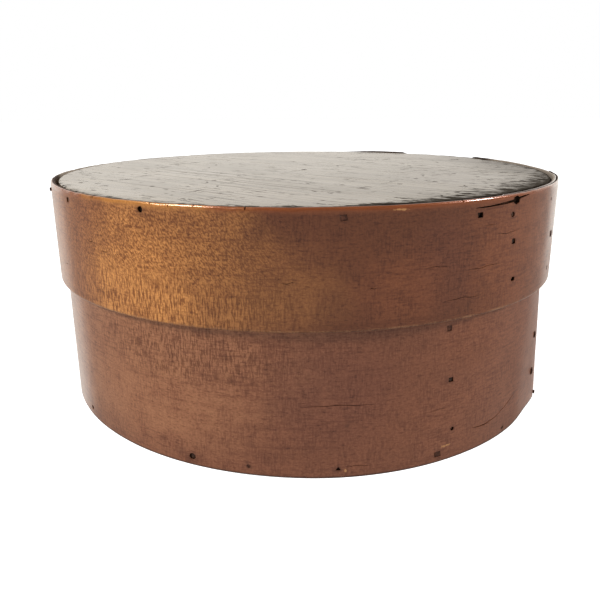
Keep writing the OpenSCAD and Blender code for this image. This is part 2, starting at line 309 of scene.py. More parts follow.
BASE_WOOD = dict(
    dark=(0.248, 0.088, 0.042), light=(0.293, 0.106, 0.051),
    patches=[
        # The pale tan patch at the front left is painted light: the glow of the left lamp on the wood
        (-44, 52, 54, 74, PALE_TAN, 0.9), (36, 50, 13, 16, ORANGE, 0.25), (4, 34, 16, 28, PURPLE, 0.3),
        (-176, 40, 34, 46, PALE_TAN, 0.7), (-238, 36, 26, 34, PURPLE, 0.35), (-262, 52, 20, 26, ORANGE, 0.4),
    ],
    flecked=(-24, 47, 26, 14, 100, 0.7), lit_rim=(0, 93, 40, 20),
    coats=[(68, 15, 25, 150, -0.85), (-292, 15, 25, 150, -0.85)],
    torn=[(27.6, 6.4, 2.8, 0.6), (7.4, 3.0, 0.9, 0.8)], bare_rims=[(150, 170)], low_edge=0.25, low_darkening=0.85,
)
BARE_FADE = 12 * MM

# Colours of the boards and the iron, linear
TOP_DARK, TOP_LIGHT, TOP_CLOUD = (0.125, 0.09, 0.056), (0.23, 0.172, 0.108), (0.14, 0.104, 0.07)
TOP_PORE = (0.3, 0.25, 0.2)
OPEN_GRAIN, DIRT, SOOT = (0.04, 0.03, 0.024), (0.045, 0.038, 0.03), (0.016, 0.012, 0.009)
PINE_LIGHT, PINE_DARK = (0.36, 0.215, 0.105), (0.25, 0.135, 0.06)
PINE_FIBRE, PINE_SOIL, PINE_CORNER = (0.65, 0.55, 0.48), (0.5, 0.42, 0.36), (0.35, 0.28, 0.23)
IRON_DARK, IRON_LIGHT, IRON_BLOTCH = (0.018, 0.013, 0.011), (0.055, 0.031, 0.02), (0.1, 0.042, 0.02)
RUST_DARK, RUST_LIGHT = (0.035, 0.014, 0.009), (0.09, 0.034, 0.02)
# The slant of the dashes in the top, the patch of it that is scoured, and the margin round its scars
DASH_SLANT = -14
SCOURED_X, SCOURED_Y = -32 * MM, -46 * MM
SCOURED_FROM, SCOURED_FULL = 65 * MM, 30 * MM
TOP_INSET = 6 * MM

# The floor, and the part of it that gloss mirrors bright: behind a line that slants back on both sides
FLOOR_HALF = 4.0
FLOOR_DOWN = 0.02 * MM
PAPER, PAPER_LIGHT = (0.8, 0.8, 0.8), (0.82, 0.82, 0.82)
WHITE, WARM_WHITE = (1, 1, 1), (1, 0.965, 0.9)
BRIGHT_LINE, BRIGHT_LINE_SKEW = 155 * MM, 11 * MM
BRIGHT_SLOPE, BRIGHT_SLOPE_SKEW = 0.905, 0.115
BRIGHT_FADE_FROM, BRIGHT_FADE_LEAST = 70 * MM, 30 * MM
BRIGHT_FRONT = (-85 * MM, -50 * MM)
# The height that the lamps aim at
LAMP_AIM = 0.05

# The camera, as fitted to the rims in the photo: places in radii of the lid, angles in radians
LENS_PX = 648.4
PHOTO_PX = 600
SENSOR = 36.0
CAMERA_BACK = 2.7599
CAMERA_UP = 1.1388
PITCH, YAW, ROLL = 0.3013, -0.0072, -0.0061


def from_front(angle):
    """Unit vectors, one row per angle, in the plan of the box."""
    turn = np.radians(angle)
    return np.stack([np.sin(turn), -np.cos(turn)], axis=-1)


def angle_of(x, y):
    return np.degrees(np.arctan2(x, -y))


def ways(angle):
    """Unit vectors outward and along the round at an angle."""
    turn = math.radians(angle)
    return Vector((math.sin(turn), -math.cos(turn), 0)), Vector((math.cos(turn), math.sin(turn), 0))


def reach(center, radius, angle):
    """Distance from the axis of the box, along an angle, to a circle round another centre."""
    way = from_front(angle)
    along = way @ center
    across = center[0] * way[..., 1] - center[1] * way[..., 0]
    return along + np.sqrt(radius**2 - across**2)


def unevenness(u, v, seed, longest, waves=9):
    """A gentle wander between 0 and 1 over a surface with coordinates u and v."""
    dice = random.Random(seed)
    total = 0
    for k in range(waves):
        length = longest * dice.uniform(0.25, 1)
        way = dice.uniform(0, math.pi)
        along = u * math.cos(way) + v * math.sin(way)
        total = total + np.sin(math.tau / length * along + dice.uniform(0, math.tau))
    return np.clip(0.5 + total / (2 * waves) * 1.6, 0, 1)


def soft_step(x, low, high):
    """From 0 at low to 1 at high, flat at both."""
    t = np.clip((x - low) / (high - low), 0, 1)
    return t * t * (3 - 2 * t)


def between(x, begin, end):
    """1 between a beginning and an end, each a soft step from one value to another."""
    return soft_step(x, *begin) * (1 - soft_step(x, *end))


def hump(angle, at, wide):
    """A bell of height 1 at an angle."""
    away = np.mod(angle - at + 180, 360) - 180
    return np.exp(-(away / wide) ** 2)


class Band:
    """One strip, bent round from the tip of its inner ply to the end of its outer ply."""

    def __init__(self, node, tip, end, merge, shaved=0.0, foot=(), bumps=()):
        low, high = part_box(node)
        self.node, self.body = node, node.split("_")[0]
        self.radius, self.low, self.high = high.y, low.z, high.z
        self.tip, self.end, self.merge, self.shaved = tip, end, merge, shaved
        self.foot, self.bumps = foot, bumps
        self.dive = round((BAND_T + PLY_GAP) / (1 - math.cos(math.radians(merge - tip))), 5)
        self.center = self.dive * from_front(merge)

    def length(self, angle):
        """Length along the outside over an angle."""
        return np.radians(angle) * self.radius

    def angle(self, length):
        """Angle of a length along the outside."""
        return math.degrees(length / self.radius)

    def outside(self, path):
        return np.where(path < self.merge, reach(self.center, self.radius - self.dive, path), self.radius)

    def inside(self, path):
        under = reach(self.center, self.radius - self.dive - BAND_T, path)
        over = reach(self.center, self.radius - self.dive + PLY_GAP, path)
        main = np.full_like(under, self.radius - BAND_T)
        return np.select(
            [path < self.merge, path >= 360 + self.tip], [np.maximum(under, self.shaved), over], main
        )

    def bulge(self, angle, z):
        """How far the foot has gone out of round with its board. The mouth is still round."""
        around = 0.0
        for times, size, at in self.foot:
            around = around + size * MM * np.cos(times * np.radians(angle - at))
        for at, wide, size in self.bumps:
            around = around + size * MM * hump(angle, at, wide)
        return around * np.clip(1 - z / ROUND_FROM, 0, 1)


base = Band("base_band", tip=24, end=66.5, merge=112, foot=FOOT_WAVES, bumps=FOOT_BUMPS)
lid = Band("lid_band", tip=38, end=85, merge=130, shaved=base.radius + LID_CLEARANCE)
base_board_low, base_board_high = (corner.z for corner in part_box("base_board"))
lid_board_low, lid_board_high = (corner.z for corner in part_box("lid_board"))


# Meshes
def mesh_piece(name, verts, faces):
    mesh = bpy.data.meshes.new(name)
    mesh.from_pydata(np.asarray(verts).tolist(), [], faces)
    mesh.validate()
    piece = bpy.data.objects.new(name, mesh)
    bpy.context.scene.collection.objects.link(piece)
    return piece


def loft(rings):
    """Vertices and faces of a closed solid through rings of equally many points, wound the same way."""
    rings = np.asarray(rings)
    count, size = rings.shape[:2]
    faces = [list(range(size))[::-1], list(range((count - 1) * size, count * size))]
    for i in range(count - 1):
        for j in range(size):
            k = (j + 1) % size
            faces.append([i * size + j, i * size + k, (i + 1) * size + k, (i + 1) * size + j])
    return rings.reshape(-1, 3), faces


def joined(solids):
    """One set of vertices and faces from several."""
    verts, faces, start = [], [], 0
    for points, sides in solids:
        verts.append(points)
        faces += [[start + i for i in side] for side in sides]
        start += len(points)
    return np.concatenate(verts), faces


def smooth(piece, sharp_above):
    piece.data.shade_smooth()
    piece.data.set_sharp_from_angle(angle=math.radians(sharp_above))


def cut(piece, solids):
    """Cuts joined solids out of a piece and leaves plain mesh behind."""
    tool = mesh_piece(piece.name + "_tool", *joined(solids))
    step = piece.modifiers.new("cut", "BOOLEAN")
    step.operation, step.solver, step.object = "DIFFERENCE", "MANIFOLD", tool
    done = bpy.data.meshes.new_from_object(piece.evaluated_get(bpy.context.evaluated_depsgraph_get()))
    piece.modifiers.clear()
    old, piece.data = piece.data, done
    done.name = piece.name
    done.materials.clear()
    bpy.data.meshes.remove(old)
    shape = tool.data
    bpy.data.objects.remove(tool)
    bpy.data.meshes.remove(shape)


def vertices(piece):
    """Places of a piece's vertices, one row each."""
    places = np.zeros(len(piece.data.vertices) * 3)
    piece.data.vertices.foreach_get("co", places)
    return places.reshape(-1, 3)


def write_mark(piece, name, values):
    """Writes one number or three at each vertex, for the piece's finish to read."""
    kind, field = ("FLOAT_VECTOR", "vector") if values.ndim == 2 else ("FLOAT", "value")
    mark = piece.data.attributes.new(name, kind, "POINT")
    mark.data.foreach_set(field, values.astype(np.float32).ravel())


def fit(piece, material, body, node):
    """Gives a piece its material and its body, and hides the node that it stands for."""
    piece.data.materials.append(material)
    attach(piece, body)
    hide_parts(node)


# The bands
def rim_wear(path, worn_top):
    """How far the upper edge has worn down: more at the back, less in two places at the back right."""
    turn = np.mod(path, 360)
    kept = 0
    for share, begin, end in RIM_KEPT:
        kept = kept + share * between(turn, begin, end)
    worn = RIM_WORN + RIM_BACK_WORN * between(turn, *RIM_BACK)
    uneven = 1 - RIM_UNEVEN + RIM_UNEVEN * unevenness(np.radians(path), 0, SEED + 21, 0.5)
    return worn_top * worn * uneven * (1 - kept)


def rim_nicks(path, worn_top):
    """Small dents in the upper edge."""
    dice = random.Random(SEED + 31)
    dent = np.zeros_like(path)
    for k in range(NICKS):
        place, wide, deep = dice.uniform(0, 360), dice.uniform(*NICK_WIDE), dice.uniform(*NICK_DEEP) * MM
        dent = np.maximum(dent, deep * hump(path, place, wide))
    return worn_top * dent


def strip_path(band):
    """Angles along a strip, with its ends eased, and how much is off each face there, as columns."""
    ease = band.angle(END_EASE)
    rounding = 1 - np.cos(np.linspace(0, math.pi / 2, END_STEPS))
    first = band.tip + ease * rounding
    last = 360 + band.end - ease * rounding[::-1]
    steps = round((last[0] - first[-1]) / PATH_STEP)
    path = np.concatenate([first, np.linspace(first[-1], last[0], steps + 1)[1:-1], last])
    eased = 1 - np.sqrt(rounding * (2 - rounding))
    short = np.concatenate([eased, np.zeros(steps - 1), eased[::-1]]) * END_EASE * END_THINNED
    return path[:, None], short[:, None]


def strip_rings(band, worn_top):
    """Rings of the strip's section from the tip of the inner ply to the end of the outer ply."""
    path, short = strip_path(band)
    ply = band.outside(path) - band.inside(path)
    outer = band.outside(path) - np.minimum(short, 0.5 * ply)
    inner = band.inside(path) + np.minimum(short, 0.2 * ply)
    thick = outer - inner
    s = band.length(path)
    wear = unevenness(s, 0, SEED + len(band.node), 0.12)
    dent = rim_nicks(path, worn_top)
    crown_in = np.minimum(CROWN_IN + CROWN_IN_WORN * wear + dent, 0.5 * thick) * (0.6 + 0.4 * worn_top)
    crown_down = CROWN_DOWN + CROWN_DOWN_WORN * worn_top * wear + dent
    lip = np.minimum(LIP + LIP_WORN * wear, 0.4 * thick)
    foot = np.minimum(FOOT + FOOT_WORN * wear, 0.45 * thick)

    low = band.low
    high = band.high - rim_wear(path, worn_top) - 0.3 * dent
    turn = np.linspace(0, math.pi / 2, ROUND_STEPS)
    up_face = np.linspace(0, 1, int((band.high - low) / FACE_ROW))
    down_back = np.linspace(0, 1, int((band.high - low) / BACK_ROW))[1:-1]
    face_z = low + foot + (high - crown_down - low - foot) * up_face
    back_z = high - lip + (low + lip - high + lip) * down_back
    depth = np.concatenate([
        0 * face_z,
        crown_in * (1 - np.cos(turn[1:])),
        thick - lip + lip * np.sin(turn),
        thick * np.ones_like(back_z),
        thick - lip + lip * np.cos(turn),
        foot * (1 - np.sin(turn[:-1])),
    ], axis=1)
    height = np.concatenate([
        face_z,
        high - crown_down + crown_down * np.sin(turn[1:]),
        high - lip + lip * np.cos(turn),
        back_z,
        low + lip - lip * np.sin(turn),
        low + foot * (1 - np.cos(turn[:-1])),
    ], axis=1)
    sag = unevenness(s, height, SEED + 7 + len(band.node), 0.09)
    dip = FACE_DIP * sag * np.clip(1 - depth / (0.5 * thick), 0, 1)
    tool_marks = HAND_MARK * np.random.default_rng(SEED).random(height.shape)
    radius = outer - depth - dip - np.where(depth < 0.5 * thick, tool_marks, -tool_marks)
    radius = radius + band.bulge(path, height)
    way = from_front(path)
    return np.stack([radius * way[..., 0], radius * way[..., 1], height], axis=-1)


def on_band(band, angle, z, outward=0.0, sideways=0.0):
    """A point near the outside of a band."""
    out, along = ways(angle)
    return out * (band.radius + float(band.bulge(angle, z)) + outward) + along * sideways + Vector((0, 0, z))


def mouth(band, angle, z, wide, tall, depth, corners, dice):
    """The hole that a head has sunk into: an uneven prism that narrows inwards."""
    lean = math.pi / corners + dice.uniform(-0.12, 0.12)
    if corners == 3:
        lean = -math.pi / 6
    reach_out = 1 / math.cos(math.pi / corners) if corners == 4 else 1.05
    shape = []
    for k in range(corners):
        turn = lean + math.tau * k / corners
        far = reach_out * dice.uniform(0.93, 1.07)
        shape.append((wide / 2 * far * math.cos(turn), tall / 2 * far * math.sin(turn)))
    rings = []
    for outward, size in MOUTH_RINGS + [(-depth, MOUTH_FLOOR)]:
        rings.append([on_band(band, angle, z + size * y, outward, size * x) for x, y in shape])
    return loft(rings[::-1])


def groove(band, points, depth):
    """A split in the wood through points of angle, height in mm and width in mm."""
    rings = []
    for outward, size in ((0.4 * MM, 1.0), (-0.5 * depth, 0.95), (-depth, 0.3)):
        upper = [on_band(band, a, (z + size * w / 2) * MM, outward) for a, z, w in points]
        lower = [on_band(band, a, (z - size * w / 2) * MM, outward) for a, z, w in points]
        rings.append(upper[::-1] + lower)
    return loft(rings[::-1])


def hairline(band, first, last, z, width):
    """A fine crack along the grain, widest in the middle."""
    steps = max(3, round((last - first) / HAIRLINE_STEP))
    points = []
    for k in range(steps + 1):
        share = k / steps
        wander = 0.25 * math.sin(7 * share + z) + 0.15 * math.sin(17 * share + first)
        open_by = width * (0.25 + 0.75 * math.sin(math.pi * share))
        points.append((first + (last - first) * share, z + wander, open_by))
    return groove(band, points, HAIRLINE_DEEP)


def mark_grain(piece, band):
    """Writes down where each point of a band lies on its strip, and how deep in it."""
    places = vertices(piece)
    x, y, z = places.T
    turn = angle_of(x, y)
    rho = np.hypot(x, y) - band.bulge(turn, z)
    turn = np.where(turn < band.tip - 0.01, turn + 360, turn)
    lapped = np.clip(turn + 360, None, 360 + band.end)
    outer_ply = (turn < band.end + 0.01) & (rho > band.inside(lapped) - 0.5 * PLY_GAP)
    path = np.where(outer_ply, turn + 360, turn)
    below = band.outside(path) - rho
    share = below / (band.outside(path) - band.inside(path))
    inner_half = soft_step(share, 0.5, 0.8)
    depth = inner_half * share * BAND_T + (1 - inner_half) * np.minimum(below, share * BAND_T)
    write_mark(piece, "grain", np.stack([band.length(path), z - band.low, depth], axis=1))


def mark_stains(piece, band, nails, smudges):
    """Writes down how stained a band is: round its nails, and where it is smudged."""
    marks = []
    for a, z, sunk, wide, tall, corners, share in nails:
        marks.append((a, z, NAIL_STAIN_SPREAD * wide * MM, NAIL_STAIN_SPREAD * tall * MM, NAIL_STAIN))
    for a, z, long, tall, dark in smudges:
        marks.append((a, z * MM, SMUDGE_SPREAD * long * MM, SMUDGE_SPREAD * tall * MM, dark))
    places = vertices(piece)
    stain = np.zeros(len(places))
    for a, z, long, tall, most in marks:
        away = places - np.array(on_band(band, a, z))
        outward, sideways = (away @ np.array(way) for way in ways(a))
        far = np.sqrt((sideways / long) ** 2 + (away[:, 2] / tall) ** 2 + (outward / STAIN_REACH) ** 2)
        stain = np.maximum(stain, most * (1 - soft_step(far, 0.2, 1)))
    write_mark(piece, "stain", stain)


def bent_band(name, band, wood, nails, worn_top, split, split_deep, chips, hairlines, smudges):
    """A band with the mouths of its nails, its split, hairlines and chips cut out."""
    dice = random.Random(SEED + len(name))
    piece = mesh_piece(name, *loft(strip_rings(band, worn_top)))
    mouths = []
    for a, z, sunk, wide, tall, corners, share in nails:
        deep = max(sunk, 0) * MM + MOUTH_BEHIND
        mouths.append(mouth(band, a, z, wide * MM, tall * MM, deep, corners, dice))
    cut(piece, mouths)
    cut(piece, [groove(band, split, split_deep)])
    flaws = [hairline(band, *line) for line in hairlines]
    for a, z, wide, tall in chips:
        flaws.append(mouth(band, a, z * MM, wide * MM, tall * MM, CHIP_DEEP, CHIP_CORNERS, dice))
    cut(piece, flaws)
    smooth(piece, BAND_SHARP)
    mark_grain(piece, band)
    mark_stains(piece, band, nails, smudges)
    fit(piece, wood, band.body, band.node)


# The nails
def rim_row(nails, board_low, board_high):
    return [(a, board_low + share * (board_high - board_low), *rest) for a, share, *rest in nails]


def lap_row(angle, row, lean=0.0):
    middle = (row[0][0] + row[-1][0]) / 2
    return [(angle + lean * (z - middle), z * MM, *rest) for z, *rest in row]


def bar(places):
    """A hand-cut bar through places of centre, half width and half height, with its corners taken off."""
    corners = [(1, BAR_FLAT), (BAR_FLAT, 1), (-BAR_FLAT, 1), (-1, BAR_FLAT)]
    corners += [(-x, -y) for x, y in corners]
    return loft([[center + x * w + y * h for x, y in corners] for center, w, h in places])


def nail(band, angle, z, sunk, wide, tall, share, dice, length, clinched):
    """One nail with its head sunk by so many mm, as one bar or, where it is clinched, two."""
    out, along = ways(angle)
    inward = -out
    tilt = Matrix.Rotation(dice.uniform(-NAIL_TILT, NAIL_TILT), 3, inward)
    side, top = tilt @ along, tilt @ Vector((0, 0, 1))
    face = on_band(band, angle, z, -sunk * MM)
    head_w, head_h = 0.5 * share * wide * MM, 0.5 * max(share, 0.8) * tall * MM

    def place(depth, half_w, half_h, shift=0.0):
        return face + inward * depth + side * shift, side * half_w, top * half_h

    lean = dice.uniform(-HEAD_LEAN, HEAD_LEAN) * MM
    shape = [place(depth, w * head_w, h * head_h, shift * lean) for depth, w, h, shift in HEAD_SHAPE]
    shape.append(place(HEAD_T + NECK_T, SHANK_W / 2, PLATE_T / 2))
    shape.append(place(length, POINT_W / 2, PLATE_T / 2))
    solids = [bar(shape)]
    if clinched:
        flat = face + inward * (length + 0.5 * CLINCH_T - CLINCH_SUNK)
        shape = []
        for far, size in CLINCH_SHAPE:
            center = flat + side * (far * CLINCH_L - POINT_W / 2)
            shape.append((center, inward * CLINCH_T / 2 * size, top * PLATE_T / 2 * size))
        solids.append(bar(shape))
    return solids


def nails_piece(name, band, iron, nails, node, clinched):
    """Like nails as one piece of separate solids."""
    dice = random.Random(SEED + len(name) + len(nails))
    solids, rust = [], []
    for a, z, sunk, wide, tall, corners, share in nails:
        length = RIM_NAIL_L
        if clinched:
            length = band.radius - sunk * MM - float(band.inside(np.array(a)))
        solids += nail(band, a, z, sunk, wide, tall, share, dice, length, clinched)
        brown = LOOSE_RUST if sunk < 0 else FLUSH_RUST if sunk < FLUSH else SUNK_RUST
        rust += [brown] * (len(solids) - len(rust))
    piece = mesh_piece(name, *joined(solids))
    write_mark(piece, "rust", np.repeat(rust, [len(points) for points, sides in solids]))
    smooth(piece, NAIL_SHARP)
    fit(piece, iron, band.body, node)


# The boards
def board_radius(band, angle, gap_left=0.0, gap_right=0.0):
    """How far a board reaches at an angle: up to its band, and less where the inner ply takes room."""
    full = band.radius - BAND_T - BOARD_FIT
    free = np.minimum(
        reach(np.array([gap_left, 0]), full, angle), reach(np.array([-gap_right, 0]), full, angle)
    )
    turn = np.mod(angle, 360)
    lapped = (turn > band.tip - 0.3) & (turn < band.merge)
    room = band.inside(np.clip(turn, band.tip, band.merge)) - BOARD_FIT
    return np.where(lapped, np.minimum(free, room), free)


def lid_edge(angle):
    return board_radius(lid, angle, LID_GAP_LEFT, LID_GAP_RIGHT)


def base_edge(angle):
    return board_radius(base, angle) + base.bulge(angle, base_board_low)


def board_grid(edge, rows, columns):
    """Points of a round board in rows along the grain, close together towards the edge."""
    turn = np.linspace(0.3, 179.7, rows)
    left = from_front(-turn) * edge(-turn)[:, None]
    right = from_front(turn) * edge(turn)[:, None]
    share = (1 - np.cos(np.linspace(0, math.pi, columns))) / 2
    return left[:, None, :] + (right - left)[:, None, :] * share[None, :, None]


def board_piece(name, edge, low, high, rows, columns, ease, relief):
    """A round board: its faces in rows along the grain, its rim a little rounded."""
    plan = board_grid(edge, rows, columns)
    rim = edge(angle_of(plan[..., 0], plan[..., 1])) - np.hypot(plan[..., 0], plan[..., 1])
    fall = np.clip(1 - rim / ease, 0, 1)
    drop = ease * (1 - np.sqrt(1 - fall**2))
    top = np.dstack([plan, high - drop - relief(plan)]).reshape(-1, 3)
    bottom = np.dstack([plan, low + 0.6 * drop]).reshape(-1, 3)
    under = rows * columns
    index = np.arange(under).reshape(rows, columns)
    faces = []
    for i in range(rows - 1):
        for j in range(columns - 1):
            a, b, c, d = index[i, j], index[i, j + 1], index[i + 1, j + 1], index[i + 1, j]
            faces.append([a, b, c, d])
            faces.append([a + under, d + under, c + under, b + under])
    loop = list(index[0, :]) + list(index[1:, -1]) + list(index[-1, -2::-1]) + list(index[-2:0:-1, 0])
    for a, b in zip(loop, loop[1:] + loop[:1]):
        faces.append([b, a, a + under, b + under])
    piece = mesh_piece(name, np.concatenate([top, bottom]), faces)
    smooth(piece, BOARD_SHARP)
    return piece


def along_grain(plan):
    """Coordinates of the top along and across its grain, which runs from the left towards the front."""
    turn = math.radians(TOP_GRAIN)
    x, y = plan[..., 0], plan[..., 1]
    return x * math.cos(turn) + y * math.sin(turn), y * math.cos(turn) - x * math.sin(turn)


def edge_dirt(plan):
    """How dirty the top is: a line along its edge, and a wide ragged patch along the right of its front."""
    x, y = plan[..., 0], plan[..., 1]
    angle = angle_of(x, y)
    rim = lid_edge(angle) - np.hypot(x, y)
    ragged = unevenness(x, y, SEED + 11, 0.014, 14) + 0.6 * unevenness(x, y, SEED + 12, 0.005, 14) - 0.8
    uneven = MM * (1 + 0.6 * ragged)
    right, left = between(angle, *DIRT_RIGHT), between(angle, *DIRT_LEFT)
    front = 1 - soft_step(np.abs(angle - 10), 55, 85)
    wide = (1.2 + 3 * front + 20 * right + 9 * between(angle, *DIRT_BEHIND)) * uneven
    level = 0.3 + 0.15 * soft_step(angle, -40, 0) + 0.1 * front + 0.07 * right + 0.12 * left
    bold = between(angle, *DIRT_BOLD)
    line = between(angle, *DIRT_LINE) * np.clip(1.6 - rim / ((1.2 + 3.4 * bold) * uneven), 0, 1 + 0.25 * bold)
    return np.maximum(level * np.clip(1.15 - rim / wide, 0, 1), line)


def top_relief(plan):
    """How far the weathered top has worn down: cupped a little, with short checks along the grain."""
    along, across = along_grain(plan)
    down = TOP_CUPPED * unevenness(0.3 * along, across, SEED + 3, 0.1)
    down = down + TOP_RIDGED * unevenness(0.1 * along, across, SEED + 4, 0.012)
    dice = random.Random(SEED + 5)
    for k in range(CHECKS):
        u, v = dice.uniform(-0.11, 0.11), dice.uniform(-0.115, 0.115)
        length, width, deep = (dice.uniform(*size) * MM for size in (CHECK_LONG, CHECK_WIDE, CHECK_DEEP))
        off = (across - v) / width
        down = np.maximum(down, deep * np.exp(-off**2) * np.clip(1 - ((along - u) / length) ** 2, 0, 1))
    return down + DIRT_SUNK * edge_dirt(plan)


def bottom_relief(plan):
    return BOTTOM_UNEVEN * unevenness(0.25 * plan[..., 0], plan[..., 1], SEED + 8, 0.05)


def scar(x, y, direction, length, width, dice):
    """A scar to cut out of the top: pointed and ragged, with steep sides."""
    turn = math.radians(direction)
    along = Vector((math.cos(turn), math.sin(turn), 0))
    across = Vector((-math.sin(turn), math.cos(turn), 0))
    near, far = [], []
    for k in range(SCAR_STEPS + 1):
        share = k / SCAR_STEPS
        half = 0.5 * width * (0.2 + 0.8 * math.sin(math.pi * share)) * dice.uniform(0.6, 1.1)
        middle = along * (share - 0.5) * length + across * dice.uniform(-0.15, 0.15) * width
        near.append(middle - across * half)
        far.append(middle + across * half)
    rings = []
    for up, size in ((-SCAR_DEEP, 0.75), (0.3 * MM, 1.0)):
        center = Vector((x * MM, y * MM, lid_board_high + up))
        rings.append([center + size * MM * spot for spot in near + far[::-1]])
    return loft(rings)


# Materials
class Wire:
    """An output of a finish's node. Operators on it add Math nodes."""

    def __init__(self, finish, socket):
        self.finish, self.socket = finish, socket

    def math(self, operation, *others, swap=False):
        terms = [self, *others]
        if swap:
            terms.reverse()
        return self.finish.node("Math", dict(enumerate(terms)), operation=operation)

    __add__ = __radd__ = partialmethod(math, "ADD")
    __sub__ = partialmethod(math, "SUBTRACT")
    __rsub__ = partialmethod(math, "SUBTRACT", swap=True)
    __mul__ = __rmul__ = partialmethod(math, "MULTIPLY")
    __truediv__ = partialmethod(math, "DIVIDE")

    def rise(self, low, high):
        """A soft step from 0 at low to 1 at high, which may be the smaller one."""
        if low > high:
            return 1 - self.rise(high, low)
        ends = {"Value": self, "From Min": low, "From Max": high}
        return self.finish.node("MapRange", ends, interpolation_type="SMOOTHSTEP")

    def clamped(self):
        return self.finish.node("Clamp", {"Value": self})


class Finish:
    """The node tree of one material, or of the world."""

    def __init__(self, name, tree=None):
        if tree is None:
            self.material = bpy.data.materials.new(name)
            self.material.use_nodes = True
            tree = self.material.node_tree
        self.tree = tree
        self.tree.nodes.clear()

    def node(self, kind, inputs=None, output=0, **settings):
        """Adds a node and returns one of its outputs."""
        made = self.tree.nodes.new("ShaderNode" + kind)
        for key, value in settings.items():
            setattr(made, key, value)
        for key, value in (inputs or {}).items():
            if isinstance(value, Wire):
                self.tree.links.new(value.socket, made.inputs[key])
            else:
                made.inputs[key].default_value = value
        return Wire(self, made.outputs[output]) if made.outputs else None

    def outputs(self, kind, names, inputs=None):
        """Several outputs of one node."""
        made = self.node(kind, inputs).socket.node
        return [Wire(self, made.outputs[name]) for name in names]

    def mark(self, name, output="Fac"):
        """What was written at the vertices of the piece."""
        return self.node("Attribute", output=output, attribute_name=name)

    def place(self):
        return self.node("TexCoord", output="Object")

    def blend(self, share, one, other, how="MIX"):
        """Colours, from one at share 0 to the other at share 1."""
        inputs = {0: share}
        for key, color in ((6, one), (7, other)):
            inputs[key] = color if isinstance(color, Wire) else (*color, 1)
        return self.node("Mix", inputs, output=2, data_type="RGBA", blend_type=how)

    def tint(self, share, one, other):
        """Colours multiplied, as far as share says."""
        return self.blend(share, one, other, "MULTIPLY")

    def stretched(self, vector, times):
        return self.node("VectorMath", {0: vector, 1: times}, operation="MULTIPLY")

    def noise(self, vector, times, detail=3.0, roughness=0.5, distortion=0.0):
        """Noise whose cells are 1 m divided by times in each direction."""
        return self.node("TexNoise", {
            "Vector": self.stretched(vector, times), "Scale": 1.0, "Detail": detail,
            "Roughness": roughness, "Distortion": distortion,
        })

    def bump(self, height, strength, distance):
        return self.node("Bump", {"Height": height, "Strength": strength, "Distance": distance})

    def principled(self, inputs):
        return self.node("BsdfPrincipled", inputs)

    def either(self, share, one, other):
        """Surfaces, from one at share 0 to the other at share 1."""
        return self.node("MixShader", {0: share, 1: one, 2: other})

    def finished(self, surface):
        self.node("OutputMaterial", {"Surface": surface})
        return self.material


class BandFinish(Finish):
    """The finish of a band, with places on its strip and the patterns of its wood."""

    def __init__(self, name, band):
        super().__init__(name)
        self.band, self.tall = band, band.high - band.low
        self.s, self.z, self.depth = self.outputs("SeparateXYZ", "XYZ", {0: self.mark("grain", "Vector")})
        self.stain = self.mark("stain")
        face = self.node("CombineXYZ", {0: self.s, 1: self.z})
        leaning = self.node("CombineXYZ", {0: self.s + 0.55 * self.z, 1: self.z})
        self.streaks = self.noise(face, (16, 500, 1), 4)
        self.clouds = self.noise(face, (20, 34, 1), 3)
        self.blotches = self.noise(face, (110, 90, 1), 3)
        self.strokes = self.noise(face, (1500, 240, 1), 3, 0.65, 0.2)
        self.speckle = self.noise(leaning, (1500, 900, 1), 3, 0.65, 0.25)
        self.comb = self.noise(face, (1350, 190, 1), 3, 0.6, 0.3)
        self.weave = self.noise(face, (130, 1000, 1), 3, 0.6, 0.4)
        self.pores = self.noise(leaning, (420, 1500, 1), 2, 0.5, 0.3)
        self.fine = self.noise(face, (900, 1100, 1), 3, 0.7)

    def patch(self, wander, angle, height, half_angle, half_height, soft=1.25, core=0.0):
        """How far inside a patch on the outside of the band: 1 in its middle, 0 outside."""
        across = (self.s - self.band.length(360 + angle)) / self.band.length(half_angle)
        upward = (self.z + (self.band.low - height * MM)) / (half_height * MM)
        return (across * across + upward * upward + wander).rise(soft, core)

    def near_top(self, low, high):
        """A rise over the height between two distances below the upper edge."""
        return self.z.rise(self.tall - low, self.tall - high)


def figured_wood(f, dark, light, patches, flecked):
    """The face of a band: its ground, patches of colour, some of them painted light where the left lamp glows
    gold on the front, flecks and fine grain.
    """
    wander = 0.7 * f.clouds + 0.5 * f.blotches - 0.6
    wood = f.blend(f.clouds.rise(0.3, 0.7), dark, light)
    for *place, color, strength in patches:
        inside = f.patch(wander, *place)
        wood = f.blend(strength * inside * inside, wood, color)
    # Flecks are bold mostly in the flecked patch, the front-left patch where the golden light is painted, as
    # painted sparkle
    *place, speckled, boldness = flecked
    upper = (f.z + 0.02 * f.blotches).rise((speckled - 3) * MM, (speckled + 12) * MM)
    flecks = f.strokes.rise(0.47, 0.57) * (1 - upper) + f.speckle.rise(0.45, 0.56) * upper
    for share, color in (
        (flecks * (0.1 + boldness * f.patch(wander, *place)), FLECK),
        (0.4 * f.streaks.rise(0.5, 0.7), STREAK),
        (0.75 * f.comb.rise(0.48, 0.56) * f.blotches.rise(0.35, 0.6), COMB),
        (0.7 * f.weave.rise(0.51, 0.6) * f.clouds.rise(0.3, 0.6), STREAK),
        (0.7 * f.pores.rise(0.56, 0.68), PORE),
        (f.fine.rise(0.35, 0.65), FINE_GRAIN),
    ):
        wood = f.tint(share, wood, color)
    return wood


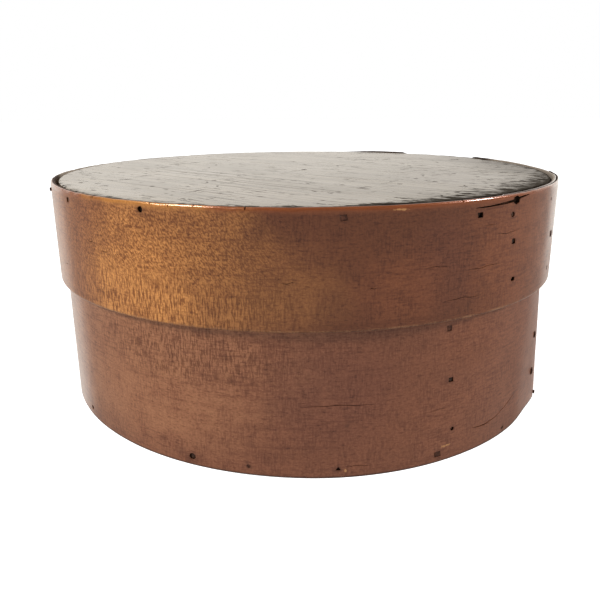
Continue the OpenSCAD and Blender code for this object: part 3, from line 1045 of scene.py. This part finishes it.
def worn_wood(f, wood, worn, foot_darkening, low_edge, lit_rim):
    """Wear and painted light on the face: the rubbed rim, golden in a painted highlight where the left lamp
    catches it, the rubbed foot, pale in a painted reflection of the floor and darker along its lowest edge,
    and stains.
    """
    # The rubbed rim, golden where the left lamp catches it: real wear with a painted highlight
    rubbed = f.patch(2 * f.blotches - 1, *lit_rim)
    wood = f.blend(0.8 * worn, wood, f.blend(rubbed, RIM_RED, RIM_HIGHLIGHT))
    # Pale along the foot: rubbed wood, and a painted reflection of the floor on its rounded edge
    foot_wear_and_sheen = f.z.rise(1.3 * MM, 0.7 * MM) * (f.fine + f.blotches).rise(0.85, 1.2)
    wood = f.blend(low_edge * foot_wear_and_sheen, wood, FOOT_RUBBED_AND_LIT)
    wood = f.tint(foot_darkening, wood, FOOT_DARK_TINT)
    return f.tint(f.stain, wood, STAIN)


def bare_wood(f, wood, inner, gap_shade, torn, bare_rims):
    """Wood without varnish: torn fibres, the dry inside, painted shade in the gap by the board and in the
    groove of the lap, and bare rims.
    """
    band = f.band
    for angle, middle, half_long, half_tall in torn:
        half_angle = band.angle(half_long * MM)
        spot = f.patch(5 * f.fine - 2.2, angle, middle, half_angle, half_tall, 1.1, 0.5)
        wood = f.blend(0.75 * spot, wood, TORN_FIBRE)
    wood = f.blend(inner, wood, f.blend(f.streaks.rise(0.3, 0.75), DRY_LIGHT, DRY_DARK))
    # Painted shade on the top of the band's inside, down in the gap by the board
    wood = f.tint(0.95 * gap_shade, wood, GAP_SHADE)
    rim = f.near_top(3 * MM, 2 * MM)
    # Painted shade in the groove along the end of the outer ply, where it lies over the inner one
    covered = f.s.rise(band.length(band.end + 2), band.length(band.end))
    wood = f.tint(0.9 * covered * f.depth.rise(0.8 * MM, 0.5 * MM) * rim, wood, LAP_GROOVE_SHADE)
    for start, stop in bare_rims:
        start, stop = band.length(start), band.length(stop)
        rubbed = f.s.rise(start - BARE_FADE, start) * f.s.rise(stop + BARE_FADE, stop)
        wood = f.blend(0.8 * rubbed * rim, wood, BARE_RIM)
    return wood


def band_wood(
    name, band, dark, light, patches, flecked, lit_rim, coats, torn, bare_rims, low_edge, low_darkening
):
    """Worn amber varnish over bent wood: flecked, golden in places where the glow of the left lamp is painted
    on, bare inside, and black in its holes as painted shade.
    """
    f = BandFinish(name, band)
    top_wear = f.near_top(3.4 * MM, 0.8 * MM) * (0.3 + 1.1 * f.blotches)
    worn = top_wear.clamped() * f.depth.rise(0.8 * BAND_T, 0.3 * BAND_T)
    # Darker along the lowest 1.3 mm of the band
    foot_darkening = low_darkening * f.z.rise(1.3 * MM, 0.5 * MM)
    inner = f.depth.rise(0.9 * BAND_T, 0.97 * BAND_T)
    # The walls of holes, splits and chips: painted shade, as a black surface
    holes = f.depth.rise(0.3 * MM, 0.5 * MM) * f.near_top(0.8 * MM, 1.8 * MM) * f.z.rise(0.4 * MM, 1.2 * MM)
    # The top of the band's inside, in the gap by the board: painted shade, and rougher there without coat
    gap_shade = f.depth.rise(0.55 * MM, 1.0 * MM) * f.near_top(2.6 * MM, 1.6 * MM)

    wood = figured_wood(f, dark, light, patches, flecked)
    wood = worn_wood(f, wood, worn, foot_darkening, low_edge, lit_rim)
    wood = bare_wood(f, wood, inner, gap_shade, torn, bare_rims)

    varnish = (1 - inner) * (1 - 0.6 * f.stain) * (1 - 0.7 * foot_darkening)
    sheen = 0.6 * varnish + 0.4 * worn
    for *place, more in coats:
        sheen = sheen * (1 + more * f.patch(0, *place))
    relief = 0.6 * f.strokes + 0.5 * f.streaks + 0.4 * f.weave + 0.3 * f.blotches + 0.25 * worn * f.fine
    varnished = f.principled({
        "Base Color": wood, "Metallic": 0.25 * varnish,
        "Roughness": 0.34 + 0.12 * f.blotches + 0.3 * inner - 0.16 * worn + 0.35 * gap_shade,
        "Coat Weight": sheen * (1 - gap_shade), "Coat Roughness": 0.1, "Coat IOR": 1.5,
        "Normal": f.bump(relief, 0.3, 0.2 * MM),
    })
    # A black surface for the painted shade in holes and cracks
    black = f.principled({"Base Color": (*HOLE_SHADE, 1), "Roughness": 0.9, "Specular IOR Level": 0})
    return f.finished(f.either(holes * (1 - inner), varnished, black))


def top_board_wood(name):
    """A board worn grey, with fine open grain and pits, dark with dirt along the right of its front edge, and
    painted shade on the steep walls of its scars.
    """
    f = Finish(name)
    place = f.place()
    x, y = f.outputs("SeparateXYZ", "XY", {0: place})

    def turned(angle):
        turn = {"Vector": place, "Angle": math.radians(-angle)}
        return f.node("VectorRotate", turn, rotation_type="Z_AXIS")

    lengthwise, slanting = turned(TOP_GRAIN), turned(DASH_SLANT)
    grain = f.noise(lengthwise, (7, 330, 60), 5, 0.6)
    coarse = f.noise(lengthwise, (16, 50, 20), 4)
    scratches = f.noise(lengthwise, (9, 420, 60), 3, 0.6, 0.2)
    checks = f.noise(lengthwise, (70, 520, 60), 3, 0.6, 0.3)
    dashes = f.noise(slanting, (150, 360, 60), 3, 0.65, 0.4)
    pores = f.noise(lengthwise, (260, 900, 60), 2)
    spread = f.noise(place, (45, 45, 30), 2)
    cells = f.stretched(slanting, (95, 130, 1))
    pits = f.node("TexVoronoi", {"Vector": cells, "Scale": 1.0}, output="Distance")
    dirt = f.mark("dirt")

    wood = f.blend(grain.rise(0.3, 0.7), TOP_DARK, TOP_LIGHT)
    wood = f.blend(0.6 * coarse.rise(0.45, 0.7), wood, TOP_CLOUD)
    wood = f.tint(0.7 * pores.rise(0.62, 0.7), wood, TOP_PORE)
    off_x, off_y = x - SCOURED_X, y - SCOURED_Y
    scoured = (off_x * off_x + off_y * off_y).rise(SCOURED_FROM**2, SCOURED_FULL**2)
    line = (0.12 + 0.16 * scoured) * scratches.rise(0.56, 0.62) + 0.12 * grain.rise(0.6, 0.72)
    check = 0.6 * checks.rise(0.62, 0.65) * spread.rise(0.4, 0.55)
    dash = 0.6 * dashes.rise(0.64, 0.67) * spread.rise(0.36, 0.5)
    pit = 0.9 * pits.rise(0.13, 0.08) * spread.rise(0.44, 0.58)
    off_middle_squared = x * x + y * y
    prick = off_middle_squared.rise(3.2 * MM * MM, 1.2 * MM * MM)
    # Painted shade on the steep walls of the scars cut into the top
    upright = f.node("SeparateXYZ", {0: f.node("NewGeometry", output="True Normal")}, output="Z")
    inner_round = lid.radius - TOP_INSET
    scar_wall_shade = upright.rise(0.95, 0.85) * off_middle_squared.rise(inner_round**2, (inner_round - MM) ** 2)
    black = (dirt + 2.0 * dashes + 0.5 * pores - 1.25).rise(0.25, 0.75)
    dull = 0.25 * (x - 0.5 * y + 0.05 * coarse).rise(-0.03, 0.2)
    dull = dull + 0.26 * (x + 0.02 * coarse).rise(0.088, 0.122)
    open_wood = (line + check + dash + pit + prick + scar_wall_shade + dull + 0.94 * black).clamped()

    dark = f.blend(dirt.rise(0.95, 1.15), f.blend(black, OPEN_GRAIN, DIRT), SOOT)
    matt = f.principled({"Base Color": dark, "Roughness": 0.9, "Specular IOR Level": 0})
    glossy = f.principled({
        "Base Color": wood, "Roughness": 0.2 + 0.14 * coarse, "Coat Weight": 0.5, "Coat Roughness": 0.2,
        "Normal": f.bump(grain * 0.5 + checks * 0.4 + pores * 0.3, 0.12, 0.1 * MM),
    })
    return f.finished(f.either(open_wood, glossy, matt))


def bottom_board_wood(name):
    """Bare pine, aged brown and dusty."""
    f = Finish(name)
    place = f.place()
    x, y = f.outputs("SeparateXYZ", "XY", {0: place})
    rings = f.noise(place, (4, 190, 30), 5, 0.6, 0.5)
    fibre = f.noise(place, (30, 1100, 80), 3)
    soil = f.noise(place, (24, 30, 24), 4)
    # Darker over the last 12 mm to the edge, by the band
    corner = (x * x + y * y + 0.003 * soil).rise((base.radius - 12 * MM) ** 2, base.radius**2)
    wood = f.blend(rings.rise(0.4, 0.6), PINE_LIGHT, PINE_DARK)
    wood = f.tint(0.7 * fibre.rise(0.48, 0.64), wood, PINE_FIBRE)
    wood = f.tint(0.7 * soil.rise(0.5, 0.72), wood, PINE_SOIL)
    wood = f.tint(0.8 * corner, wood, PINE_CORNER)
    return f.finished(f.principled({
        "Base Color": wood, "Roughness": 0.62 + 0.25 * soil,
        "Normal": f.bump(fibre * 0.6 + rings * 0.4, 0.3, 0.3 * MM),
    }))


def nail_iron(name):
    """Cut iron, rusted brown, darker in the hollows."""
    f = Finish(name)
    place = f.place()
    scale = f.noise(place, (900, 900, 900), 4, 0.6)
    blotches = f.noise(place, (160, 160, 160), 2)
    iron = f.blend(scale.rise(0.4, 0.65), IRON_DARK, IRON_LIGHT)
    iron = f.blend(0.6 * blotches.rise(0.5, 0.7), iron, IRON_BLOTCH)
    iron = f.blend(f.mark("rust"), iron, f.blend(scale.rise(0.35, 0.65), RUST_DARK, RUST_LIGHT))
    return f.finished(f.principled({
        "Base Color": iron, "Roughness": 0.55 + 0.35 * scale, "Metallic": 0.15 * scale.rise(0.6, 0.35),
        "Specular IOR Level": 0.15, "Normal": f.bump(scale, 0.5, 0.15 * MM),
    }))


# The pieces
inset = base.angle(LAP_NAIL_INSET)
base_nails = {
    "base_rim_nails": rim_row(BASE_RIM_NAILS, base_board_low, base_board_high),
    "base_lap_tip_nails": lap_row(base.tip + inset, BASE_TIP_ROW, BASE_TIP_LEAN),
    "base_lap_end_nails": lap_row(base.end - inset, BASE_END_ROW),
}
inset = lid.angle(LAP_NAIL_INSET)
lid_nails = {
    "lid_rim_nails": rim_row(LID_RIM_NAILS, lid_board_low, lid_board_high),
    "lid_lap_tip_nails": lap_row(lid.tip + inset, LID_TIP_ROW, LID_TIP_LEAN),
    "lid_lap_middle_nails": lap_row((lid.tip + lid.end) / 2, LID_MIDDLE_ROW),
    "lid_lap_end_nails": lap_row(lid.end - inset, LID_END_ROW),
}
for band, rows, wear, wood in (
    (lid, lid_nails, LID_WEAR, LID_WOOD),
    (base, base_nails, BASE_WEAR, BASE_WOOD),
):
    finish = band_wood(band.body + "_band_wood", band, **wood)
    bent_band(band.body + "_bent_band", band, finish, sum(rows.values(), []), **wear)

iron = nail_iron("rusted_cut_iron")
for band, rows in ((base, base_nails), (lid, lid_nails)):
    for node, nails in rows.items():
        nails_piece(node.replace("nails", "cut_nails"), band, iron, nails, node, clinched="_lap_" in node)

top_board = board_piece(
    "lid_top_board", lid_edge, lid_board_low, lid_board_high, rows=420, columns=96, ease=TOP_EASE,
    relief=top_relief,
)
dice = random.Random(SEED + 6)
cut(top_board, [scar(*place, dice) for place in TOP_SCARS])
smooth(top_board, BOARD_SHARP)
write_mark(top_board, "dirt", edge_dirt(vertices(top_board)[:, :2]))
fit(top_board, top_board_wood("weathered_top_board"), "lid", "lid_board")

bottom_board = board_piece(
    "base_bottom_board", base_edge, base_board_low, base_board_high, rows=240, columns=64, ease=BOTTOM_EASE,
    relief=bottom_relief,
)
fit(bottom_board, bottom_board_wood("bare_bottom_board"), "base", "base_board")


# Floor, world and lamps
def white_paper(name):
    """White paper: seen by the camera it is lifted to white, except where the box keeps the light off it."""
    f = Finish(name)
    camera_ray, glossy_ray = f.outputs("LightPath", ("Is Camera Ray", "Is Glossy Ray"))
    place = f.place()
    x, y = f.outputs("SeparateXYZ", "XY", {0: place})
    beside, side = x.math("ABSOLUTE"), x.math("SIGN")
    slope = BRIGHT_SLOPE + BRIGHT_SLOPE_SKEW * side
    past_line = y + BRIGHT_LINE + BRIGHT_LINE_SKEW * side - slope * beside
    fade = (beside - BRIGHT_FADE_FROM).math("MAXIMUM", BRIGHT_FADE_LEAST)
    behind = (past_line / fade).rise(-0.22, 0.2) * y.rise(*BRIGHT_FRONT)
    fibre = f.noise(place, (400, 400, 1), 2)
    paper = f.node("BsdfDiffuse", {"Color": f.blend(fibre, PAPER, PAPER_LIGHT)})
    glow = f.node("Emission", {"Color": (*WHITE, 1), "Strength": 0.75 * camera_ray})
    mirrored = f.node("Emission", {"Color": (*WARM_WHITE, 1), "Strength": 0.3 + 0.7 * behind})
    seen = f.node("AddShader", {0: paper, 1: glow})
    return f.finished(f.either(glossy_ray, seen, mirrored))


def white_room(name):
    """A white world. Gloss mirrors it bright behind the box and dark in front."""
    world = bpy.data.worlds.new(name)
    bpy.context.scene.world = world
    world.use_nodes = True
    f = Finish(name, world.node_tree)
    camera_ray, glossy_ray = f.outputs("LightPath", ("Is Camera Ray", "Is Glossy Ray"))
    way = f.node("TexCoord", output="Generated")
    backward = f.node("SeparateXYZ", {0: way}, output="Y")
    mirrored = 0.04 + 0.96 * backward.rise(0.1, 0.9)
    level = 0.5 + camera_ray * 0.5 + glossy_ray * (mirrored - 0.5)
    color = f.blend(glossy_ray, WHITE, WARM_WHITE)
    f.node("OutputWorld", {"Surface": f.node("Background", {"Color": color, "Strength": level})})


def lamp(name, angle, height, distance, size, power):
    light = bpy.data.lights.new(name, "AREA")
    light.shape, light.size, light.energy = "DISK", size, power
    holder = bpy.data.objects.new(name, light)
    bpy.context.scene.collection.objects.link(holder)
    turn = math.radians(angle)
    holder.location = (distance * math.sin(turn), -distance * math.cos(turn), height)
    aim = Vector((0, 0, LAMP_AIM)) - holder.location
    holder.rotation_euler = aim.to_track_quat("-Z", "Y").to_euler()


corners = [(-1, -1), (1, -1), (1, 1), (-1, 1)]
sheet = [(x * FLOOR_HALF, y * FLOOR_HALF, -FLOOR_DOWN) for x, y in corners]
floor = mesh_piece("floor", sheet, [[0, 1, 2, 3]])
floor.data.materials.append(white_paper("white_paper"))
white_room("white_room")
lamp("left_window", angle=-57, height=0.95, distance=1.15, size=0.5, power=16)
lamp("right_fill", angle=82, height=0.8, distance=1.4, size=0.4, power=17)

# The camera
ahead = Vector((math.sin(YAW) * math.cos(PITCH), math.cos(YAW) * math.cos(PITCH), -math.sin(PITCH)))
right = Vector((math.cos(YAW), -math.sin(YAW), 0))
up = right.cross(ahead)
right, up = math.cos(ROLL) * right + math.sin(ROLL) * up, math.cos(ROLL) * up - math.sin(ROLL) * right
lens = bpy.data.cameras.new("camera")
lens.sensor_width, lens.lens, lens.clip_start = SENSOR, SENSOR * LENS_PX / PHOTO_PX, 0.01
camera = bpy.data.objects.new("camera", lens)
bpy.context.scene.collection.objects.link(camera)
camera.matrix_world = Matrix.Translation(
    Vector((0, -CAMERA_BACK * lid.radius, CAMERA_UP * lid.radius))
) @ Matrix((right, up, -ahead)).transposed().to_4x4()
bpy.context.scene.camera = camera
bpy.context.scene.view_settings.view_transform = "Standard"
